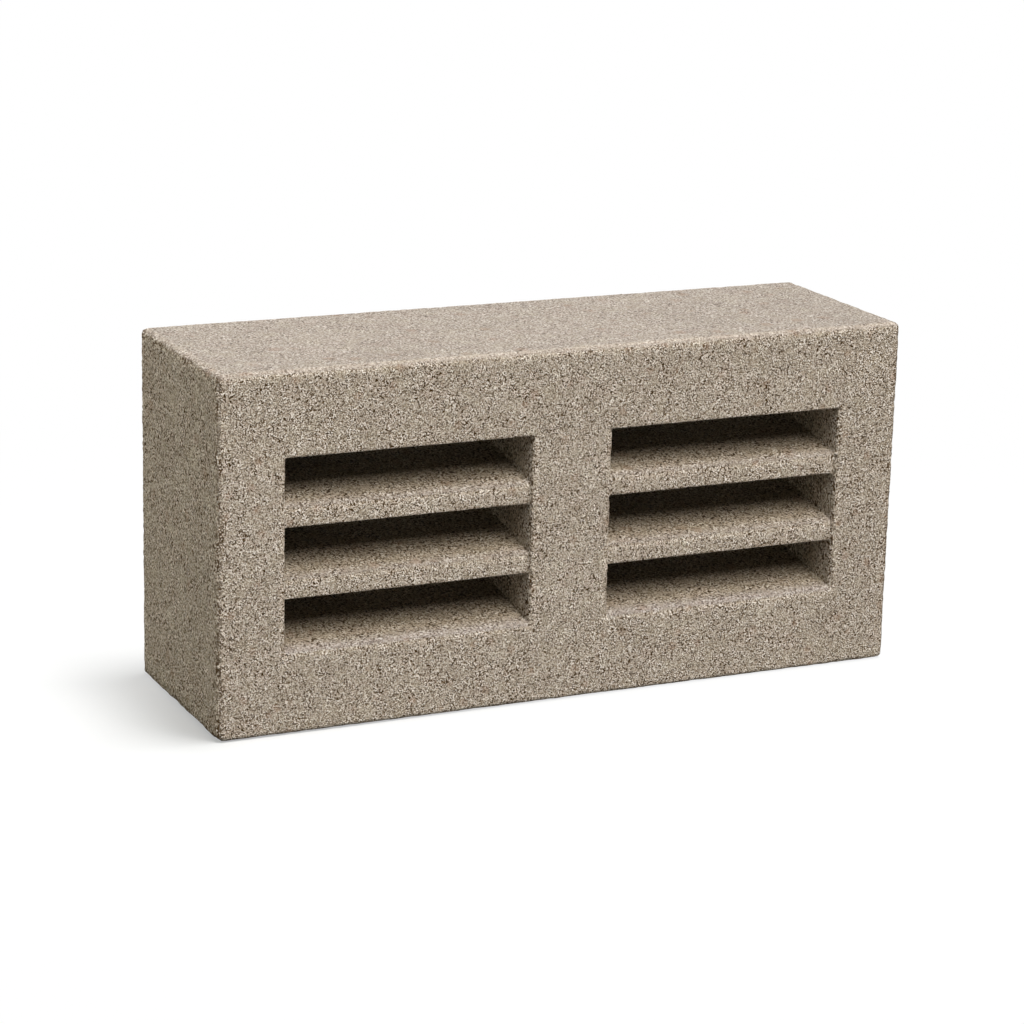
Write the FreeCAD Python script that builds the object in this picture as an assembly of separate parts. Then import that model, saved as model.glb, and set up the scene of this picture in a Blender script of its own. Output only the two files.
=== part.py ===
"""Louvred screen block: one solid casting of sand concrete, in millimetres, +Z up.

The block stands on its bed face with the origin at the middle of that face. The front looks to -Y.
Two windows run right through it, each crossed by louvre slats that rise from the front to the back.
"""
import FreeCAD, Part
import math
import os

from FreeCAD import Vector

# Outside of the casting
block_length = 390.0
block_depth = 120.0
block_height = 190.0
edge_radius = 3.0

# Frame left around the two windows, measured on the front face
end_web = 36.5
centre_web = 46.0
head_rail = 45.0
sill_rail = 44.5

# Rounding of the window mouths
jamb_radius = 2.0
sill_radius = 3.0
head_radius = 1.0

# Louvre slats
slat_count = 2
slat_thickness = 12.0
slat_setback = 3.0
slat_slope = 11.0
nose_radius = 3.0
lip_radius = 1.0

front = -block_depth / 2
back = block_depth / 2
window_width = (block_length - 2 * end_web - centre_web) / 2
window_height = block_height - head_rail - sill_rail
slot_height = (window_height - slat_count * slat_thickness) / (slat_count + 1)
slat_pitch = slot_height + slat_thickness
climb = math.tan(math.radians(slat_slope))
flare = 2 * max(jamb_radius, sill_radius, head_radius)


def on_slope(y, level):
    """Point at depth y on a louvre plane that meets the front face at the given level."""
    return Vector(0, y, level + climb * (y - front))


def rounded_outline(corners, radii):
    """Closed wire through the corners, each one turned by a tangent arc of its own radius, or sharp at radius 0."""
    turns = []
    for i, (corner, radius) in enumerate(zip(corners, radii)):
        backward = (corners[i - 1] - corner).normalize()
        forward = (corners[(i + 1) % len(corners)] - corner).normalize()
        half_angle = backward.getAngle(forward) / 2
        reach = radius / math.tan(half_angle)
        bisector = (backward + forward).normalize()
        crown = corner + bisector * (radius / math.sin(half_angle) - radius)
        turns.append((corner + backward * reach, crown, corner + forward * reach))
    edges = []
    for turn, following, radius in zip(turns, turns[1:] + turns[:1], radii):
        if radius > 0:
            edges.append(Part.Arc(*turn).toShape())
        edges.append(Part.LineSegment(turn[2], following[0]).toShape())
    return Part.Wire(edges)


def flared_outline(low_wall, high_wall, spread, low_radius, high_radius):
    """Outline of a tunnel from the front plane to the back plane, its two walls rounded into both planes.

    Each wall is given by its front and back corner. The spread runs along the planes, away from the low wall.
    """
    low_front, low_back = low_wall
    high_front, high_back = high_wall
    outward = Vector(0, flare, 0)
    low_side = spread * -flare
    high_side = spread * flare
    corners = [
        low_front,
        low_back,
        low_back + low_side,
        low_back + low_side + outward,
        high_back + high_side + outward,
        high_back + high_side,
        high_back,
        high_front,
        high_front + high_side,
        high_front + high_side - outward,
        low_front + low_side - outward,
        low_front + low_side,
    ]
    square = [0.0] * 4
    radii = [low_radius, low_radius] + square + [high_radius, high_radius] + square
    return rounded_outline(corners, radii)


def prism(wire, start, travel):
    """Solid that carries an outline from a start point along a straight travel."""
    wire.translate(start)
    return Part.Face(wire).extrude(travel)


def plain_block():
    """The casting before its windows, with every outer arris rounded."""
    block = Part.makeBox(block_length, block_depth, block_height, Vector(-block_length / 2, front, 0))
    return block.makeFillet(edge_radius, block.Edges)


def window(start_x):
    """Tunnel of one window on the louvre slope, with mouths that follow the rounded sill, head and jambs."""
    end_x = start_x + window_width
    head = sill_rail + window_height
    section = flared_outline(
        (on_slope(front, sill_rail), on_slope(back, sill_rail)),
        (on_slope(front, head), on_slope(back, head)),
        Vector(0, 0, 1), sill_radius, head_radius)
    plan = flared_outline(
        (Vector(start_x, front, 0), Vector(start_x, back, 0)),
        (Vector(end_x, front, 0), Vector(end_x, back, 0)),
        Vector(1, 0, 0), jamb_radius, jamb_radius)
    along = prism(section, Vector(start_x - flare, 0, 0), Vector(window_width + 2 * flare, 0, 0))
    upright = prism(plan, Vector(0, 0, 0), Vector(0, 0, 2 * block_height))
    return along.common(upright)


def slat(level):
    """One louvre bar with a soft upper nose and a tighter lip, ending inside the end webs."""
    near = front + slat_setback
    far = back - slat_setback
    corners = [
        on_slope(near, level),
        on_slope(far, level),
        on_slope(far, level + slat_thickness),
        on_slope(near, level + slat_thickness),
    ]
    radii = [lip_radius, lip_radius, nose_radius, nose_radius]
    bar_length = block_length - end_web
    return prism(rounded_outline(corners, radii), Vector(-bar_length / 2, 0, 0), Vector(bar_length, 0, 0))


def screen_block():
    """Block, windows and slats, joined as the one casting."""
    solid = plain_block()
    for start_x in (end_web - block_length / 2, centre_web / 2):
        solid = solid.cut(window(start_x))
    for number in range(slat_count):
        level = sill_rail + slot_height + number * slat_pitch
        solid = solid.fuse(slat(level))
    return solid.removeSplitter()


os.makedirs("parts", exist_ok=True)
casting = screen_block()
print("solids", len(casting.Solids), "valid", casting.isValid(), "litres", round(casting.Volume / 1e6, 3))
casting.Solids[0].exportStep("parts/screen_block.step")
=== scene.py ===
"""Looks of a louvred screen block: one casting of sand concrete with worn arrises, on a white floor."""

import math

import bpy
import numpy as np
from bpy.props import FloatProperty, FloatVectorProperty, IntProperty, PointerProperty
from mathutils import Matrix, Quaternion, Vector, noise


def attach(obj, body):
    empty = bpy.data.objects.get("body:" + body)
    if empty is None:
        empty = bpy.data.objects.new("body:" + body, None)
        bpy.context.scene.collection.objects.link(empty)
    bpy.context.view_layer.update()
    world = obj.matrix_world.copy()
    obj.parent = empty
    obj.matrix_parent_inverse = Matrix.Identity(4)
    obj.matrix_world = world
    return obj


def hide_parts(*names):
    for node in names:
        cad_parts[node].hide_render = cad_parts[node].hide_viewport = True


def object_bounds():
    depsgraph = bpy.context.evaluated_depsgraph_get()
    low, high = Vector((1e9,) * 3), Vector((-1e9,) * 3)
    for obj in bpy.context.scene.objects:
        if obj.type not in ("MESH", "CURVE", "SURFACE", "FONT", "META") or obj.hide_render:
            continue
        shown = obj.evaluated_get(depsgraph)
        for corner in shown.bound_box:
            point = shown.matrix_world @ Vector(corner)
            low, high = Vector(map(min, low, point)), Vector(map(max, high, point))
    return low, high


bl_info = {
    "name": "Louvred Screen Block",
    "version": (1, 0, 0),
    "blender": (4, 5, 0),
    "location": "View3D > Sidebar > Screen Block",
    "description": "Casts a weathered concrete block over its CAD solid and sets it on a white floor",
    "category": "Object",
}

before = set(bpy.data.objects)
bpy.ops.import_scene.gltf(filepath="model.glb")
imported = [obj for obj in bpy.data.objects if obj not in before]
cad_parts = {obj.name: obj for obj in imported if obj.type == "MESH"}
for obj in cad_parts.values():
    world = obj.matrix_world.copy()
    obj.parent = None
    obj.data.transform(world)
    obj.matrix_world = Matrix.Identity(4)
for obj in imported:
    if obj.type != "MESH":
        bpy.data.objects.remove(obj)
CAD_LOW, CAD_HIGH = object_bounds()
CAD_SIZE = CAD_HIGH - CAD_LOW
MILLIMETRES = 1000.0

# Width of the picture in pixels, and of the camera's sensor in millimetres
PIXELS = 1024
SENSOR = 36.0

# Band round a window that counts as inside it, and the depth at which the first painted shade in the
# windows is full, in metres
MOUTH = 0.001
SHELTER_DEPTH = 0.01

# Turn of the grain's noise in radians, and its scale on all faces but the front and the back
GRAIN_TURN = (0.7, 0.4, 1.1)
COARSE_SPREAD = 0.7

# Levels of the sand's noise at which its tones stand, from the crevices to the palest grains
TONE_LEVELS = (0.31, 0.39, 0.455, 0.56, 0.7)

# Levels of noise between which a look sets in
SMOOTH_PATCH = (0.36, 0.62)
ROSY_PATCH = (0.5, 0.7)
OLIVE_PATCH = (0.5, 0.3)
PITTED_PATCH = (0.35, 0.65)
RUST_SPOT = (0.25, 0.1)
GRAIN_RISE = (0.34, 0.66)

# Upright parts of the normal between which a face counts as looking up
LAITANCE_LEAN = (0.2, 0.7)
# For the painted shade on all upward faces
SHADE_LEAN = (0.2, 0.5)
# For the painted shade on upward faces inside the windows
PAINTED_SHADE_LEAN = (0.0, 0.6)


class CastingSizes(bpy.types.PropertyGroup):
    """Sizes of the casting. All but the root radius are the CAD model's."""

    length: FloatProperty(
        name="Length", description="Size along X", default=CAD_SIZE.x, unit="LENGTH")
    depth: FloatProperty(
        name="Depth", description="Size from front to back", default=CAD_SIZE.y, unit="LENGTH")
    height: FloatProperty(
        name="Height", description="Size from bed to top", default=CAD_SIZE.z, unit="LENGTH")
    edge_radius: FloatProperty(
        name="Edge radius", description="Rounding of the outer arrises", default=0.003, unit="LENGTH")
    end_web: FloatProperty(
        name="End web", description="Stone between a window and its end", default=0.0365, unit="LENGTH")
    centre_web: FloatProperty(
        name="Centre web", description="Stone between the two windows", default=0.046, unit="LENGTH")
    head_rail: FloatProperty(
        name="Head rail", description="Stone above the windows, at the front",
        default=0.045, unit="LENGTH")
    sill_rail: FloatProperty(
        name="Sill rail", description="Stone below the windows, at the front",
        default=0.0445, unit="LENGTH")
    jamb_radius: FloatProperty(
        name="Jamb radius", description="Rounding of the windows' upright edges",
        default=0.002, unit="LENGTH")
    sill_radius: FloatProperty(
        name="Sill radius", description="Rounding of the windows' lower edges",
        default=0.003, unit="LENGTH")
    head_radius: FloatProperty(
        name="Head radius", description="Rounding of the windows' upper edges",
        default=0.001, unit="LENGTH")
    root_radius: FloatProperty(
        name="Root radius", description="Hollow where slats meet the jambs",
        default=0.0005, unit="LENGTH")
    slat_count: IntProperty(
        name="Slats", description="Louvre slats in each window", default=2, min=1)
    slat_thickness: FloatProperty(
        name="Slat thickness", description="Upright thickness of a slat", default=0.012, unit="LENGTH")
    slat_setback: FloatProperty(
        name="Slat setback", description="Depth of a slat's nose behind the face",
        default=0.003, unit="LENGTH")
    slat_slope: FloatProperty(
        name="Slat slope", description="Climb of the slats from front to back",
        default=math.radians(11), subtype="ANGLE")
    nose_radius: FloatProperty(
        name="Nose radius", description="Rounding of a slat's upper front", default=0.003, unit="LENGTH")
    lip_radius: FloatProperty(
        name="Lip radius", description="Rounding of a slat's lower front", default=0.001, unit="LENGTH")


class CastingRelief(bpy.types.PropertyGroup):
    """Mesh fineness and the relief that weather and the mould leave on the stone."""

    arris_cell: FloatProperty(
        name="Arris cell", description="Mesh spacing along arrises", default=0.0008, unit="LENGTH")
    face_cell: FloatProperty(
        name="Face cell", description="Widest mesh spacing across the face", default=0.003, unit="LENGTH")
    deep_cell: FloatProperty(
        name="Deep cell", description="Widest mesh spacing from front to back",
        default=0.0045, unit="LENGTH")
    cell_growth: FloatProperty(
        name="Cell growth", description="Growth of the spacing from cell to cell", default=1.25, min=1.05)
    wear: FloatProperty(
        name="Wear", description="Largest extra rounding of worn stretches",
        default=0.0006, unit="LENGTH")
    wear_length: FloatProperty(
        name="Wear length", description="Length of one worn stretch", default=0.012, unit="LENGTH")
    crumb_depth: FloatProperty(
        name="Crumb depth", description="Depth of crumbled spots on arrises",
        default=0.0009, unit="LENGTH")
    crumb_size: FloatProperty(
        name="Crumb size", description="Width of one crumbled spot", default=0.0024, unit="LENGTH")
    grain_depth: FloatProperty(
        name="Grain depth", description="Depth of the relief on faces", default=0.0002, unit="LENGTH")
    grain_size: FloatProperty(
        name="Grain size", description="Width of one lump of relief", default=0.004, unit="LENGTH")


class ConcreteFinish(bpy.types.PropertyGroup):
    """Colours and grain of the sand concrete."""

    # Painted shade: the dark tone of the crevices between the grains and of the pit floors
    crevice_shade: FloatVectorProperty(
        name="Crevice", description="Tone between the grains",
        default=(0.055, 0.027, 0.004), subtype="COLOR")
    # Partly grain tone, partly painted shade round the crevices
    umber: FloatVectorProperty(
        name="Umber", description="Tone round the crevices",
        default=(0.22, 0.15, 0.085), subtype="COLOR")
    stone: FloatVectorProperty(
        name="Stone", description="Main tone of the concrete",
        default=(0.519, 0.427, 0.332), subtype="COLOR")
    sand: FloatVectorProperty(
        name="Sand", description="Tone of the common grains",
        default=(0.613, 0.518, 0.424), subtype="COLOR")
    # Palest grains, partly their own tone and partly a painted highlight on the crests of the sand
    pale_sand_and_highlight: FloatVectorProperty(
        name="Pale sand", description="Tone of the lightest grains",
        default=(0.93, 0.847, 0.764), subtype="COLOR")
    sand_size: FloatProperty(
        name="Sand size", description="Width of one sand grain", default=0.00066, unit="LENGTH")
    sand_swirl: FloatProperty(
        name="Sand swirl", description="How far the grains are drawn out into strokes", default=0.6)
    grain_height: FloatProperty(
        name="Grain height", description="Height of the sand grains", default=0.0003, unit="LENGTH")
    calm: FloatVectorProperty(
        name="Calm", description="Tone of the smoother patches",
        default=(0.47, 0.385, 0.297), subtype="COLOR")
    calm_size: FloatProperty(
        name="Calm size", description="Width of one smoother patch", default=0.004, unit="LENGTH")
    calm_share: FloatProperty(
        name="Calm share", description="Share of the even tone in the smoother patches",
        default=0.5, min=0.0, max=1.0, subtype="FACTOR")
    laitance: FloatVectorProperty(
        name="Laitance", description="Even tone of upward faces",
        default=(0.493, 0.43, 0.437), subtype="COLOR")
    laitance_share: FloatProperty(
        name="Laitance share", description="Share of that tone, and of bare stone along its arrises",
        default=0.3, min=0.0, max=1.0, subtype="FACTOR")
    # Painted shade on upward faces outside the windows
    open_upward_painted_shade: FloatProperty(
        name="Laitance shade", description="How much darker upward faces in the open are",
        default=0.06, min=0.0, max=1.0, subtype="FACTOR")
    # Painted shade on every face that looks up
    painted_upward_shade: FloatProperty(
        name="Upward shade", description="How much darker all upward faces are",
        default=0.1, min=0.0, max=1.0, subtype="FACTOR")
    rosy: FloatVectorProperty(
        name="Rosy", description="Stain of the warmer patches",
        default=(1.0, 0.86, 0.86), subtype="COLOR")
    olive: FloatVectorProperty(
        name="Olive", description="Stain of the greener patches",
        default=(0.96, 0.96, 0.74), subtype="COLOR")
    patch_size: FloatProperty(
        name="Patch size", description="Width of one warmer, greener or pitted patch",
        default=0.009, unit="LENGTH")
    patch_share: FloatProperty(
        name="Patch share", description="Strength of the warmer and greener stains",
        default=0.13, min=0.0, max=1.0, subtype="FACTOR")
    rust: FloatVectorProperty(
        name="Rust", description="Tone of the iron-stained spots",
        default=(0.34, 0.19, 0.11), subtype="COLOR")
    rust_spacing: FloatProperty(
        name="Rust spacing", description="Distance between iron-stained spots",
        default=0.013, unit="LENGTH")
    rust_share: FloatProperty(
        name="Rust share", description="Strength of the iron-stained spots",
        default=0.28, min=0.0, max=1.0, subtype="FACTOR")
    pit_size: FloatProperty(
        name="Pit size", description="Width of one pit", default=0.001, unit="LENGTH")
    pit_swirl: FloatProperty(
        name="Pit swirl", description="How far the pits are drawn out into strokes", default=0.5)
    pit_level: FloatProperty(
        name="Pit level", description="Level of the pits' noise below which the stone is pitted",
        default=0.348)
    pit_softness: FloatProperty(
        name="Pit softness", description="Change of that level from the rim of a pit to its floor",
        default=0.03)
    pit_fill: FloatProperty(
        name="Pit fill", description="Share to which laitance fills the pits",
        default=0.45, min=0.0, max=1.0, subtype="FACTOR")
    faintest_pits: FloatProperty(
        name="Faintest pits", description="Strength of the pits between pitted patches", default=0.5)
    deepest_pits: FloatProperty(
        name="Deepest pits", description="Strength of the pits in pitted patches", default=1.1)
    # Painted shade on the pit floors of chipped arrises
    chip: FloatVectorProperty(
        name="Chip", description="Tone of the pits on chipped arrises",
        default=(0.1, 0.062, 0.032), subtype="COLOR")
    chip_level: FloatProperty(
        name="Chip level", description="Rise of the pits' level on chipped arrises", default=0.16)
    # Arrises lighter, partly as worn stone and partly as a painted highlight on their rounding
    arris_wear_and_highlight: FloatProperty(
        name="Arris light", description="How much lighter arrises are",
        default=0.15, min=0.0, max=1.0, subtype="FACTOR")
    mottle: FloatProperty(
        name="Mottle", description="Range of the broad changes from light to dark",
        default=0.2, min=0.0, max=1.0, subtype="FACTOR")
    mottle_size: FloatProperty(
        name="Mottle size", description="Width of one broad change", default=0.028, unit="LENGTH")
    # Painted shade on upward faces inside the windows, growing with depth into the slots
    window_painted_shade: FloatVectorProperty(
        name="Grime", description="Stain on upward faces inside the windows",
        default=(0.675, 0.65, 0.585), subtype="COLOR")
    # Share of a second, deeper stage of that painted shade
    deep_window_painted_shade: FloatProperty(
        name="Deep grime", description="Share of a second such stain, deeper inside",
        default=0.4, min=0.0, max=1.0, subtype="FACTOR")
    roughness: FloatProperty(
        name="Roughness", description="Roughness of the stone",
        default=0.93, min=0.0, max=1.0, subtype="FACTOR")
    gloss: FloatProperty(
        name="Gloss", description="Specular level of the stone",
        default=0.25, min=0.0, max=1.0, subtype="FACTOR")


class StageLook(bpy.types.PropertyGroup):
    """Camera, lamps and floor."""

    view_azimuth: FloatProperty(
        name="View azimuth", description="Turn of the camera from straight ahead",
        default=math.radians(25.17), subtype="ANGLE")
    view_elevation: FloatProperty(
        name="View elevation", description="Height of the camera above level",
        default=math.radians(15.54), subtype="ANGLE")
    view_roll: FloatProperty(
        name="View roll", description="Lean of the camera", default=math.radians(1.37), subtype="ANGLE")
    view_distance: FloatProperty(
        name="View distance", description="Camera to aim point", default=1.608, unit="LENGTH")
    view_aim: FloatVectorProperty(
        name="Aim", description="Point in the middle of the picture",
        default=(-0.0367, -0.065, 0.1075), subtype="TRANSLATION")
    focal_pixels: FloatProperty(
        name="Focal length", description="Focal length in pixels of the picture", default=3128.0)
    key_place: FloatVectorProperty(
        name="Key place", description="Where the front lamp stands",
        default=(0.3, -3.35, 4.6), subtype="TRANSLATION")
    key_size: FloatProperty(
        name="Key size", description="Width of the front lamp", default=3.8, unit="LENGTH")
    key_level: FloatProperty(
        name="Key level", description="Light of the front lamp on a facing wall", default=1.5)
    key_tint: FloatVectorProperty(
        name="Key tint", description="Colour of the front lamp", default=(1.0, 1.0, 1.0), subtype="COLOR")
    overhead_place: FloatVectorProperty(
        name="Overhead place", description="Where the lamp above and behind hangs",
        default=(0.4, 1.9, 2.0), subtype="TRANSLATION")
    overhead_size: FloatProperty(
        name="Overhead size", description="Width of the lamp behind", default=1.6, unit="LENGTH")
    overhead_level: FloatProperty(
        name="Overhead level", description="Light of the lamp behind on a facing wall", default=0.18)
    overhead_tint: FloatVectorProperty(
        name="Overhead tint", description="Colour of the lamp behind",
        default=(0.8, 0.95, 1.0), subtype="COLOR")
    fill_place: FloatVectorProperty(
        name="Fill place", description="Where the side lamp stands",
        default=(-1.6, 1.4, 1.45), subtype="TRANSLATION")
    fill_size: FloatProperty(
        name="Fill size", description="Width of the side lamp", default=1.4, unit="LENGTH")
    fill_level: FloatProperty(
        name="Fill level", description="Light of the side lamp on a facing wall", default=0.47)
    fill_tint: FloatVectorProperty(
        name="Fill tint", description="Colour of the side lamp",
        default=(1.0, 0.97, 0.85), subtype="COLOR")
    wash_place: FloatVectorProperty(
        name="Wash place", description="Where the lamp for the floor hangs",
        default=(1.35, -0.8, 10.0), subtype="TRANSLATION")
    wash_size: FloatProperty(
        name="Wash size", description="Width of the lamp for the floor", default=3.2, unit="LENGTH")
    wash_level: FloatProperty(
        name="Wash level", description="Light of that lamp on a facing floor", default=1.1)
    ambient: FloatProperty(
        name="Ambient", description="Light from all round", default=0.035)
    ambient_tint: FloatVectorProperty(
        name="Ambient tint", description="Colour of the light from all round",
        default=(0.6, 1.0, 0.38), subtype="COLOR")
    floor_tone: FloatProperty(
        name="Floor tone", description="Brightness of the floor as the camera sees it", default=1.0)
    floor_bounce: FloatProperty(
        name="Floor bounce", description="Share of the light that the floor sends back", default=0.25)
    shadow_glow: FloatProperty(
        name="Shadow glow", description="Share of plain white in the darkest part of the shadow",
        default=0.42)
    faded_glow: FloatProperty(
        name="Faded glow", description="Share of plain white where the shadow has faded", default=0.85)
    shadow_reach: FloatProperty(
        name="Shadow reach", description="Distance from the front left corner to the end of the shadow",
        default=0.28, unit="LENGTH")
    floor_fade: FloatProperty(
        name="Floor fade", description="Distance at which the floor starts to turn plain white",
        default=0.31, unit="LENGTH")
    floor_reach: FloatProperty(
        name="Floor reach", description="Distance at which the floor has turned plain white",
        default=0.62, unit="LENGTH")
    floor_half: FloatProperty(
        name="Floor half", description="Half the width of the floor", default=4.96, unit="LENGTH")


class Socket:
    """A shader socket. Arithmetic on it adds the Math nodes that work the result out."""

    def __init__(self, shader, socket):
        self.shader = shader
        self.socket = socket

    def math(self, operation, first, second):
        """Adds a Math node on two values, at least one of them a socket."""
        return self.shader.node("ShaderNodeMath", {"operation": operation}, {0: first, 1: second})

    def __add__(self, other):
        return self.math("ADD", self, other)

    def __radd__(self, other):
        return self.math("ADD", other, self)

    def __sub__(self, other):
        return self.math("SUBTRACT", self, other)

    def __rsub__(self, other):
        return self.math("SUBTRACT", other, self)

    def __mul__(self, other):
        return self.math("MULTIPLY", self, other)

    def __rmul__(self, other):
        return self.math("MULTIPLY", other, self)


class Shader:
    """A node tree that is written as expressions on its sockets."""

    def __init__(self, owner):
        owner.use_nodes = True
        self.tree = owner.node_tree
        self.tree.nodes.clear()

    def node(self, kind, settings=None, sockets=None, output=0):
        """Adds a node, sets it up, feeds its sockets and returns one of its outputs."""
        made = self.tree.nodes.new(kind)
        for name, value in (settings or {}).items():
            if name == "stops":
                self.set_stops(made.color_ramp.elements, value)
            else:
                setattr(made, name, value)
        for key, value in (sockets or {}).items():
            if isinstance(value, Socket):
                self.tree.links.new(value.socket, made.inputs[key])
            else:
                made.inputs[key].default_value = value
        return Socket(self, made.outputs[output]) if made.outputs else None

    @staticmethod
    def set_stops(elements, stops):
        """Gives a colour ramp its stops, each a place and a colour."""
        while len(elements) < len(stops):
            elements.new(1.0)
        for element, (place, colour) in zip(elements, stops):
            element.position = place
            element.color = (*colour, 1.0)

    def ramp(self, value, low, high, start=0.0, end=1.0):
        """Smooth step of a value from start at low to end at high."""
        settings = {"interpolation_type": "SMOOTHSTEP"}
        return self.node("ShaderNodeMapRange", settings, {0: value, 1: low, 2: high, 3: start, 4: end})

    def mix(self, share, first, second):
        """Blend of two colours, each a socket or a plain colour."""
        colours = [c if isinstance(c, Socket) else (*c, 1.0) for c in (first, second)]
        settings = {"data_type": "RGBA"}
        return self.node("ShaderNodeMix", settings, {0: share, 6: colours[0], 7: colours[1]}, output=2)

    def tint(self, colour, share):
        """A colour made lighter or darker by a share of itself."""
        return self.node("ShaderNodeVectorMath", {"operation": "SCALE"}, {0: colour, 3: share})

    def stain(self, colour, share, stain):
        """A colour multiplied by a share of a stain."""
        settings = {"data_type": "RGBA", "blend_type": "MULTIPLY"}
        return self.node("ShaderNodeMix", settings, {0: share, 6: colour, 7: (*stain, 1.0)}, output=2)

    def place(self):
        """Point on the piece in millimetres, turned so that no noise lattice lies flat on a face.

        The grain is coarser on all faces but the front and the back.
        """
        point = self.node("ShaderNodeTexCoord", output="Object")
        point = self.tint(point, MILLIMETRES * self.mark("spread"))
        turn = {"Vector": point, "Rotation": GRAIN_TURN}
        return self.node("ShaderNodeVectorRotate", {"rotation_type": "EULER_XYZ"}, turn)

    def clouds(self, point, size, detail=2.0, swirl=0.0):
        """Soft noise, about 0 to 1, whose lumps have the given size."""
        scale = 1 / (size * MILLIMETRES)
        sockets = {"Vector": point, "Scale": scale, "Detail": detail, "Distortion": swirl}
        return self.node("ShaderNodeTexNoise", {"noise_dimensions": "3D"}, sockets)

    def spots(self, point, spacing):
        """Distance from the middle of the nearest scattered spot, as a share of their spacing."""
        sockets = {"Vector": point, "Scale": 1 / (spacing * MILLIMETRES)}
        return self.node("ShaderNodeTexVoronoi", {"voronoi_dimensions": "3D"}, sockets, output="Distance")

    def mark(self, name):
        """Value that the mesh keeps under a name."""
        return self.node("ShaderNodeAttribute", {"attribute_name": name}, output="Fac")


def graded(start, end, widest, relief):
    """Grid lines after start up to end, close together at both ends and wider between."""
    steps = []
    step = relief.arris_cell
    while sum(steps) < (end - start) / 2:
        steps.append(step)
        step = min(step * relief.cell_growth, widest)
    whole = np.cumsum(steps + steps[::-1])
    return start + (end - start) * whole / whole[-1]


def grid_lines(stops, widest, relief):
    """Grid lines through every stop, graded in between."""
    spans = [graded(a, b, widest, relief) for a, b in zip(stops, stops[1:])]
    return np.concatenate([[stops[0]], *spans])


def slot_height(sizes):
    """Clear upright height of one slot."""
    opening = sizes.height - sizes.head_rail - sizes.sill_rail
    return (opening - sizes.slat_count * sizes.slat_thickness) / (sizes.slat_count + 1)


def slat_levels(sizes):
    """Height of each slat's lower edge, on the front face."""
    slot = slot_height(sizes)
    return [sizes.sill_rail + slot + i * (slot + sizes.slat_thickness) for i in range(sizes.slat_count)]


def casting_lines(sizes, relief):
    """Grid lines along X, Y and Z, with a stop at every arris of the casting before it is sheared."""
    end, middle = sizes.length / 2, sizes.centre_web / 2
    window = end - sizes.end_web
    face, nose = sizes.depth / 2, sizes.depth / 2 - sizes.slat_setback
    levels = [0.0, sizes.sill_rail]
    for level in slat_levels(sizes):
        levels += [level, level + sizes.slat_thickness]
    levels += [sizes.height - sizes.head_rail, sizes.height]
    return (
        grid_lines([-end, -window, -middle, middle, window, end], relief.face_cell, relief),
        grid_lines([-face, -nose, nose, face], relief.deep_cell, relief),
        grid_lines(levels, relief.face_cell, relief),
    )


def full_cells(sizes, lines):
    """Which cells of the grid hold stone."""
    x, y, z = (np.abs((a[1:] + a[:-1]) / 2) for a in lines)
    beside = (x > sizes.centre_web / 2) & (x < sizes.length / 2 - sizes.end_web)
    between = (z > sizes.sill_rail) & (z < sizes.height - sizes.head_rail)
    slat = np.zeros_like(between)
    for level in slat_levels(sizes):
        slat |= (z > level) & (z < level + sizes.slat_thickness)
    behind = y < sizes.depth / 2 - sizes.slat_setback
    window = beside[:, None, None] & between
    return ~window | (behind[:, None] & slat)


def skin(full):
    """Quads between full and empty cells, as corner numbers of the grid, facing the empty side."""
    padded = np.pad(full, 1).astype(int)
    shape = np.array(full.shape) + 1
    quads = []
    for axis in range(3):
        order = [axis, (axis + 1) % 3, (axis + 2) % 3]
        change = np.diff(padded.transpose(order), axis=0)
        for sign in (-1, 1):
            line, u, v = np.nonzero(change == sign)
            corners = []
            for du, dv in ((1, 1), (0, 1), (0, 0), (1, 0)):
                place = np.empty((3, len(line)), int)
                place[order] = line, u - du, v - dv
                corners.append(np.ravel_multi_index(place, shape))
            quads.append(np.stack(corners[::-sign], axis=1))
    return np.concatenate(quads)


def rounded_meet(a, b, radius):
    """Distance to where two solids overlap, with the arris between them rounded."""
    corner = np.hypot(np.maximum(a + radius, 0), np.maximum(b + radius, 0))
    return corner + np.minimum(np.maximum(a, b), -radius)


def rounded_join(a, b, radius):
    """Distance to two solids together, with a hollow where they meet."""
    return -rounded_meet(-a, -b, radius)


def casting_distance(points, sizes, wear):
    """Signed distance to the casting's surface, below zero in the stone. Wear rounds its arrises more."""
    x, y, z = np.abs(points[:, 0]), points[:, 1], points[:, 2]
    slope = np.cos(sizes.slat_slope)
    level = z - np.tan(sizes.slat_slope) * (y + sizes.depth / 2)
    deep = np.abs(y) - sizes.depth / 2
    edge = sizes.edge_radius + wear
    block = rounded_meet(x - sizes.length / 2, deep, edge)
    block = rounded_meet(block, np.maximum(z - sizes.height, -z), edge)
    across = np.maximum(x - sizes.length / 2 + sizes.end_web, sizes.centre_web / 2 - x)
    upright = np.maximum(level - sizes.height + sizes.head_rail, sizes.sill_rail - level) * slope
    rim = np.where(level < sizes.height / 2, sizes.sill_radius + wear, sizes.head_radius + wear / 2)
    webs = rounded_meet(block, -across, sizes.jamb_radius + wear)
    rails = rounded_meet(block, -upright, rim)
    solid = np.minimum(webs, rails)
    within = x - sizes.length / 2 + sizes.end_web / 2
    for lower in slat_levels(sizes):
        upper = lower + sizes.slat_thickness
        bar = rounded_meet(deep + sizes.slat_setback, (level - upper) * slope, sizes.nose_radius + wear)
        bar = rounded_meet(bar, (lower - level) * slope, sizes.lip_radius + wear / 2)
        solid = rounded_join(solid, np.maximum(bar, within), sizes.root_radius)
    return solid


def uphill(points, distance, step=0.00005):
    """Slope of a distance function at each point, by central differences."""
    slopes = []
    for axis in np.eye(3):
        slopes.append((distance(points + axis * step) - distance(points - axis * step)) / (2 * step))
    return np.stack(slopes, axis=1)


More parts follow.
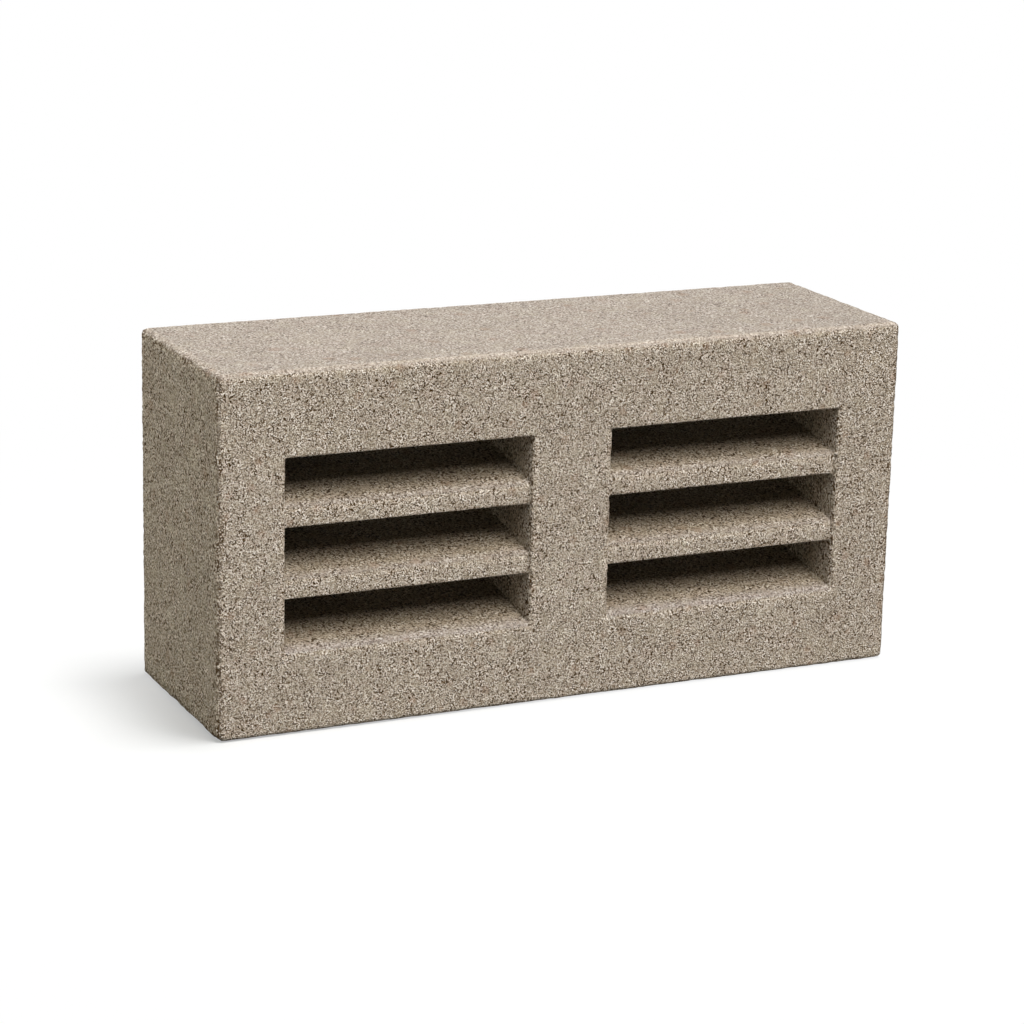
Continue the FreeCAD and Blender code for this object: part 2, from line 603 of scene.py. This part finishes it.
def settled(points, distance, rounds=5, flattest=0.5, tiny=1e-6):
    """The points moved onto the surface where the distance is zero, and the surface's normals there."""
    for _ in range(rounds):
        slope = uphill(points, distance)
        size = np.maximum((slope * slope).sum(axis=1), flattest ** 2)
        points = points - slope * (distance(points) / size)[:, None]
    slope = uphill(points, distance)
    return points, slope / np.maximum(np.linalg.norm(slope, axis=1), tiny)[:, None]


def lumps(points, size, octaves=2, fading=1.0, fineness=2.0):
    """Noise from 0 to 1 at each point, with lumps of the given size."""
    values = [noise.fractal(Vector(p), fading, fineness, octaves) for p in points / size]
    return np.clip(0.5 + 0.5 * np.array(values), 0, 1)


def inside_window(points, sizes, margin):
    """Which points lie within a window's walls, widened by a margin."""
    x, y, z = np.abs(points[:, 0]), points[:, 1], points[:, 2]
    level = z - np.tan(sizes.slat_slope) * (y + sizes.depth / 2)
    beside = (x > sizes.centre_web / 2 - margin) & (x < sizes.length / 2 - sizes.end_web + margin)
    between = (level > sizes.sill_rail - margin) & (level < sizes.height - sizes.head_rail + margin)
    return beside & between


def sheltered(points, sizes):
    """How far each point lies inside a window, from 0 at the mouth to 2 at twice the shelter depth."""
    deep = sizes.depth / 2 - np.abs(points[:, 1])
    return inside_window(points, sizes, MOUTH) * np.clip(deep / SHELTER_DEPTH, 0, 2)


def worn(points, relief, contrast=2.2, onset=0.8):
    """Extra rounding at each point, from none on crisp stretches to the full wear."""
    return relief.wear * np.clip(contrast * lumps(points, relief.wear_length) - onset, 0, 1)


def arrises(points, normals, wear, sizes, relief, crispness=4, upward=0.2, turned=0.3):
    """Marks from 0 to 1: arrises other than noses and sills, and those turned to an end or a jamb."""
    beyond = casting_distance(points, sizes, wear + relief.crumb_size) / relief.crumb_size
    nose = inside_window(points, sizes, sizes.sill_radius + MOUTH) & (normals[:, 2] > upward)
    arris = np.clip(beyond * crispness, 0, 1) * ~nose
    return arris, arris * np.clip(np.abs(normals[:, 0]) / turned, 0, 1)


def crumbled(points, arris, chipped, relief, sound=0.4):
    """Depth that has crumbled away at each point, less on arrises that aren't chipped."""
    share = sound * arris + (1 - sound) * chipped
    return relief.crumb_depth * share * lumps(points, relief.crumb_size) ** 2


def cast(sizes, relief, jamb_chips=0.5):
    """Points and quads of the finished casting, with the marks of its points and of its quads."""
    lines = casting_lines(sizes, relief)
    quads = skin(full_cells(sizes, lines))
    used, quads = np.unique(quads, return_inverse=True)
    x, y, z = np.unravel_index(used, [len(a) for a in lines])
    points = np.stack([lines[0][x], lines[1][y], lines[2][z]], axis=1)
    stops = [0, sizes.sill_rail, sizes.height - sizes.head_rail, sizes.height]
    share = np.interp(points[:, 2], stops, [0, 1, 1, 0])
    points[:, 2] += share * np.tan(sizes.slat_slope) * (points[:, 1] + sizes.depth / 2)

    wear = worn(points, relief)
    points, normals = settled(points, lambda p: casting_distance(p, sizes, wear))
    arris, chipped = arrises(points, normals, wear, sizes, relief)
    crumbs = crumbled(points, arris, chipped, relief)
    grain = relief.grain_depth * lumps(points, relief.grain_size, octaves=3)
    jambs = inside_window(points, sizes, sizes.jamb_radius + relief.wear + relief.crumb_size)
    chipped = chipped * (1 - (1 - jamb_chips) * jambs)
    marks = {"arris": arris, "chipped": chipped, "shelter": sheltered(points, sizes)}
    points = points - normals * (crumbs + grain)[:, None]

    quads = quads.reshape(-1, 4)
    sideways = np.abs(normals[:, 1][quads].mean(axis=1)) < math.cos(math.radians(45))
    return points, quads, marks, {"spread": np.where(sideways, COARSE_SPREAD, 1.0)}


def packed_sand(shader, point, relief, finish):
    """Tones of the grains, darkened as painted shade in the crevices between them and lightened as a
    painted highlight on the palest crests, evened out in the smoother patches.
    """
    tones = (finish.crevice_shade, finish.umber, finish.stone, finish.sand, finish.pale_sand_and_highlight)
    stops = list(zip(TONE_LEVELS, tones))
    colour = shader.node("ShaderNodeValToRGB", {"stops": stops}, {0: relief})
    smoother = shader.ramp(shader.clouds(point, finish.calm_size, detail=1.0), *SMOOTH_PATCH)
    return shader.mix(finish.calm_share * smoother, colour, finish.calm)


def pits(shader, point, chipped, upward, finish):
    """1 on the floors of the pits and 0 beside them. Chips add to them, and laitance fills them in part."""
    level = shader.clouds(point, finish.pit_size, detail=0.0, swirl=finish.pit_swirl)
    rim, floor = finish.pit_level + finish.pit_softness, finish.pit_level - finish.pit_softness
    pit = shader.ramp(level - finish.chip_level * chipped, rim, floor)
    return pit * (1 - finish.pit_fill * upward)


def concrete(finish):
    """Sand concrete: packed grains, pits, drifting tones and iron-stained spots, with painted shade in the
    crevices, pits and windows and on upward faces, and arrises lightened by wear and a painted highlight.
    """
    material = bpy.data.materials.new("sand_concrete")
    shader = Shader(material)
    point = shader.place()
    facing = shader.node("ShaderNodeNewGeometry", output="Normal")
    upright = shader.node("ShaderNodeSeparateXYZ", None, {0: facing}, output="Z")
    arris, chipped, shelter = (shader.mark(name) for name in ("arris", "chipped", "shelter"))
    upward = shader.ramp(upright, *LAITANCE_LEAN) * shader.ramp(shelter, 1.0, 0.0)
    relief = shader.clouds(point, finish.sand_size, detail=0.0, swirl=finish.sand_swirl)
    drift = shader.clouds(point, finish.patch_size)
    pit = pits(shader, point, chipped, upward, finish)

    # Grains, laitance on what looks up, drifting hues and spots of rust
    colour = packed_sand(shader, point, relief, finish)
    even = finish.laitance_share * upward
    colour = shader.mix(even, colour, finish.laitance)
    colour = shader.mix(even * (arris - chipped), colour, finish.stone)
    colour = shader.stain(colour, finish.patch_share * shader.ramp(drift, *ROSY_PATCH), finish.rosy)
    colour = shader.stain(colour, finish.patch_share * shader.ramp(drift, *OLIVE_PATCH), finish.olive)
    rusty = shader.ramp(shader.spots(point, finish.rust_spacing), *RUST_SPOT)
    colour = shader.mix(finish.rust_share * rusty, colour, finish.rust)

    # Pits with painted shade on their floors, arrises lighter as wear and a painted highlight, painted
    # shade on upward faces, broad mottling, and painted shade inside the windows in two stages
    # Painted shade on the pit floors, strongest in pitted patches, in the crevice tone or the chip tone on
    # chipped arrises
    pitted = shader.ramp(drift, *PITTED_PATCH, finish.faintest_pits, finish.deepest_pits)
    colour = shader.mix(pitted * pit, colour, shader.mix(chipped, finish.crevice_shade, finish.chip))
    # Painted shade on faces that look up, more on those outside the windows
    shade = finish.painted_upward_shade * shader.ramp(upright, *SHADE_LEAN) + finish.open_upward_painted_shade * upward
    # Arrises lighter as worn stone and a painted highlight, upward faces darker by painted shade
    colour = shader.tint(colour, 1 + finish.arris_wear_and_highlight * arris - shade)
    broad = shader.clouds(point, finish.mottle_size, detail=4.0)
    colour = shader.tint(colour, 1 + finish.mottle * (broad - 0.5))
    # Painted shade inside the windows, in two stages, on faces that look up and more deeply in the slots
    lying = shelter * shader.ramp(upright, *PAINTED_SHADE_LEAN)
    colour = shader.stain(colour, lying, finish.window_painted_shade)
    colour = shader.stain(colour, finish.deep_window_painted_shade * (lying - 1), finish.window_painted_shade)

    height = shader.ramp(relief, *GRAIN_RISE) - pit
    normal = shader.node("ShaderNodeBump", None, {
        "Strength": 1.0, "Distance": finish.grain_height, "Height": height})
    surface = shader.node("ShaderNodeBsdfPrincipled", None, {
        "Base Color": colour, "Roughness": finish.roughness, "Specular IOR Level": finish.gloss,
        "Normal": normal})
    shader.node("ShaderNodeOutputMaterial", None, {"Surface": surface})
    return material


def seen_rays(shader):
    """1 for rays from the camera or from gloss and glass, 0 for the light that falls on the stone."""
    kinds = ("Is Camera Ray", "Is Glossy Ray", "Is Transmission Ray")
    camera, glossy, glass = (shader.node("ShaderNodeLightPath", output=kind) for kind in kinds)
    return shader.node("ShaderNodeMath", {"operation": "MINIMUM"}, {0: camera + glossy + glass, 1: 1.0})


def white_floor(look):
    """Floor that the camera sees as white with the block's shadow, and that sends little light back."""
    material = bpy.data.materials.new("white_floor")
    shader = Shader(material)
    seen = seen_rays(shader)
    tone = seen * look.floor_tone + (1 - seen) * look.floor_bounce
    paint = shader.node("ShaderNodeBsdfDiffuse", None, {"Color": shader.mix(tone, (0, 0, 0), (1, 1, 1))})
    glow = shader.node("ShaderNodeEmission", None, {"Strength": 1.0})
    point = shader.node("ShaderNodeTexCoord", output="Object")
    reach = shader.node("ShaderNodeVectorMath", {"operation": "LENGTH"}, {0: point}, output="Value")
    corner = {0: point, 1: (CAD_LOW.x, CAD_LOW.y, 0)}
    aside = shader.node("ShaderNodeVectorMath", {"operation": "DISTANCE"}, corner, output="Value")
    # Painted light on the floor: plain white glow laid over the lamp's shadow, least at the front left
    # corner and growing with distance from it
    faded = shader.ramp(aside, 0, look.shadow_reach, look.shadow_glow, look.faded_glow)
    plain = faded + (1 - faded) * shader.ramp(reach, look.floor_fade, look.floor_reach)
    surface = shader.node("ShaderNodeMixShader", None, {0: seen * plain, 1: paint, 2: glow})
    shader.node("ShaderNodeOutputMaterial", None, {"Surface": surface})
    return material


def white_surround(look):
    """World that is white to the camera and dim to the stone."""
    world = bpy.data.worlds.new("studio")
    shader = Shader(world)
    glow = {"Color": (*look.ambient_tint, 1), "Strength": look.ambient}
    dim = shader.node("ShaderNodeBackground", None, glow)
    white = shader.node("ShaderNodeBackground", None, {"Color": (1, 1, 1, 1), "Strength": 1.0})
    surface = shader.node("ShaderNodeMixShader", None, {0: seen_rays(shader), 1: dim, 2: white})
    shader.node("ShaderNodeOutputWorld", None, {"Surface": surface})
    return world


def add_object(name, data):
    """New object in the scene."""
    made = bpy.data.objects.new(name, data)
    bpy.context.scene.collection.objects.link(made)
    return made


def add_lamp(name, place, size, level, tint, aim):
    """Square soft lamp that gives a wall facing it the wanted level of light."""
    lamp = bpy.data.lights.new(name, "AREA")
    lamp.size = size
    lamp.color = tint
    made = add_object(name, lamp)
    made.location = place
    ray = aim - made.location
    made.rotation_mode = "QUATERNION"
    made.rotation_quaternion = ray.to_track_quat("-Z", "Y")
    lamp.energy = level * math.pi ** 2 * ray.length_squared
    return made


def link_to_floor(lamp, floor, state):
    """Makes a lamp light the floor alone, with INCLUDE, or all but the floor, with EXCLUDE."""
    group = bpy.data.collections.new(lamp.name + "_floor")
    group.objects.link(floor)
    group.collection_objects[0].light_linking.link_state = state
    lamp.light_linking.receiver_collection = group


def add_camera(look):
    """Camera at the photograph's viewing angle."""
    lens = bpy.data.cameras.new("camera")
    lens.sensor_width = SENSOR
    lens.lens = look.focal_pixels * SENSOR / PIXELS
    made = add_object("camera", lens)
    level = math.cos(look.view_elevation)
    ahead = Vector((
        math.sin(look.view_azimuth) * level,
        math.cos(look.view_azimuth) * level,
        -math.sin(look.view_elevation),
    ))
    made.location = Vector(look.view_aim) - ahead * look.view_distance
    made.rotation_mode = "QUATERNION"
    lean = Quaternion((0, 0, 1), look.view_roll)
    made.rotation_quaternion = ahead.to_track_quat("-Z", "Y") @ lean
    return made


class SCREENBLOCK_OT_casting(bpy.types.Operator):
    """Cast the concrete block over its CAD solid"""

    bl_idname = "screen_block.casting"
    bl_label = "Cast Block"

    def execute(self, context):
        points, quads, marks, quad_marks = cast(context.scene.casting_sizes, context.scene.casting_relief)
        mesh = bpy.data.meshes.new("concrete_casting")
        mesh.from_pydata(points.tolist(), [], quads.tolist())
        mesh.shade_smooth()
        for domain, group in (("POINT", marks), ("FACE", quad_marks)):
            for name, values in group.items():
                mesh.attributes.new(name, "FLOAT", domain).data.foreach_set("value", values)
        mesh.materials.append(concrete(context.scene.concrete_finish))
        if mesh.validate():
            raise RuntimeError("the casting's mesh has broken faces")
        piece = add_object("concrete_casting", mesh)
        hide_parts("screen_block")
        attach(piece, "root")
        return {"FINISHED"}


class SCREENBLOCK_OT_stage(bpy.types.Operator):
    """Set up the floor, the lamps and the camera"""

    bl_idname = "screen_block.stage"
    bl_label = "Set Stage"

    def execute(self, context):
        scene = context.scene
        look = scene.stage_look
        half = look.floor_half
        sheet = bpy.data.meshes.new("floor")
        corners = [(-half, -half, 0), (half, -half, 0), (half, half, 0), (-half, half, 0)]
        sheet.from_pydata(corners, [], [(0, 1, 2, 3)])
        sheet.materials.append(white_floor(look))
        floor = add_object("floor", sheet)
        scene.world = white_surround(look)
        aim = (CAD_LOW + CAD_HIGH) / 2
        for name in ("key", "overhead", "fill"):
            traits = (getattr(look, f"{name}_{trait}") for trait in ("place", "size", "level", "tint"))
            link_to_floor(add_lamp(name, *traits, aim), floor, "EXCLUDE")
        wash = add_lamp("wash", look.wash_place, look.wash_size, look.wash_level, (1, 1, 1), aim)
        link_to_floor(wash, floor, "INCLUDE")
        scene.camera = add_camera(look)
        scene.view_settings.view_transform = "Standard"
        return {"FINISHED"}


class VIEW3D_PT_screen_block(bpy.types.Panel):
    """Sizes, finish and stage of the screen block"""

    bl_label = "Screen Block"
    bl_space_type = "VIEW_3D"
    bl_region_type = "UI"
    bl_category = "Screen Block"

    def draw(self, context):
        for name, group in GROUPS.items():
            box = self.layout.box()
            box.label(text=group.__doc__)
            for key in group.__annotations__:
                box.prop(getattr(context.scene, name), key)
        for operator in OPERATORS:
            self.layout.operator(operator.bl_idname)


GROUPS = {
    "casting_sizes": CastingSizes,
    "casting_relief": CastingRelief,
    "concrete_finish": ConcreteFinish,
    "stage_look": StageLook,
}
OPERATORS = (SCREENBLOCK_OT_casting, SCREENBLOCK_OT_stage)
CLASSES = (*GROUPS.values(), *OPERATORS, VIEW3D_PT_screen_block)


def register():
    for made in CLASSES:
        bpy.utils.register_class(made)
    for name, group in GROUPS.items():
        setattr(bpy.types.Scene, name, PointerProperty(type=group))


def unregister():
    for name in GROUPS:
        delattr(bpy.types.Scene, name)
    for made in reversed(CLASSES):
        bpy.utils.unregister_class(made)


def main():
    register()
    bpy.ops.screen_block.casting()
    bpy.ops.screen_block.stage()


if __name__ == "__main__":
    main()
